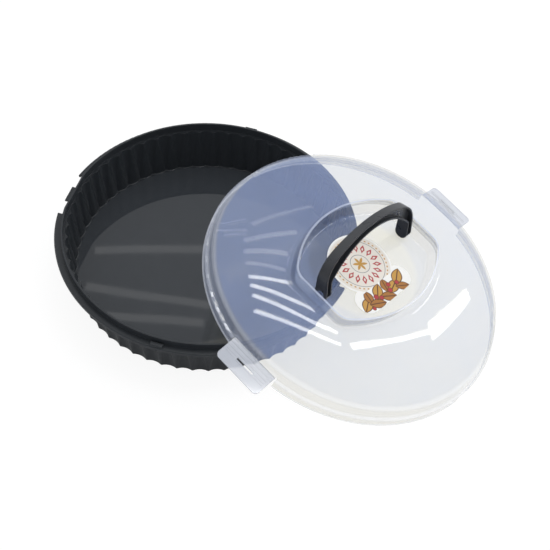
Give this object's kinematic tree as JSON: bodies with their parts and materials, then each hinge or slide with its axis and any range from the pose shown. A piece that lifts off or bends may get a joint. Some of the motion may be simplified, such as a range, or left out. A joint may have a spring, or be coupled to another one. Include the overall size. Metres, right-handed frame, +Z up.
{
  "type": "cake carrier",
  "caption": "Round cake and pie carrier: dark fluted tray with a rim flange, and a lift-off milky clear domed lid with hinged locking clips and a folding carry handle set in a well.",
  "frame": {"origin": "middle of the tray's underside, on the table", "axes": "+Z up out of the tray, +X towards the side where the lid leans, +Y away from the front clip's side"},
  "size_m": [0.4712, 0.3688, 0.1389],
  "materials": {
    "tray_plastic": "satin moulded charcoal",
    "lid_plastic": "milky clear moulded",
    "handle_plastic": "satin moulded charcoal",
    "label_paper": "coated paper"
  },
  "bodies": {
    "base": {"base_tray": "tray_plastic"},
    "lid": {"lid_shell": "lid_plastic", "lid_label": "label_paper"},
    "front_clip": {"clip_front": "lid_plastic"},
    "back_clip": {"clip_back": "lid_plastic"},
    "carry_handle": {"handle": "handle_plastic"}
  },
  "joints": [
    {"name": "lid_lift", "type": "slide", "parent": "base", "child": "lid", "axis": [0, 0, 1], "range_m": [0, 0.2]},
    {"name": "clip_front_hinge", "type": "hinge", "parent": "lid", "child": "front_clip", "pos_m": [0.06267, -0.17139, 0.07356], "axis": [0.748, -0.6221, -0.2311], "range_deg": [-30, 79]},
    {"name": "clip_back_hinge", "type": "hinge", "parent": "lid", "child": "back_clip", "pos_m": [0.2531, 0.07213, 0.03446], "axis": [-0.748, 0.6221, 0.2311], "range_deg": [-30, 79]},
    {"name": "handle_pivot", "type": "hinge", "parent": "lid", "child": "carry_handle", "pos_m": [0.16364, -0.04913, 0.08514], "axis": [0.6111, 0.7815, -0.1255], "range_deg": [-71, 108]}
  ]
}
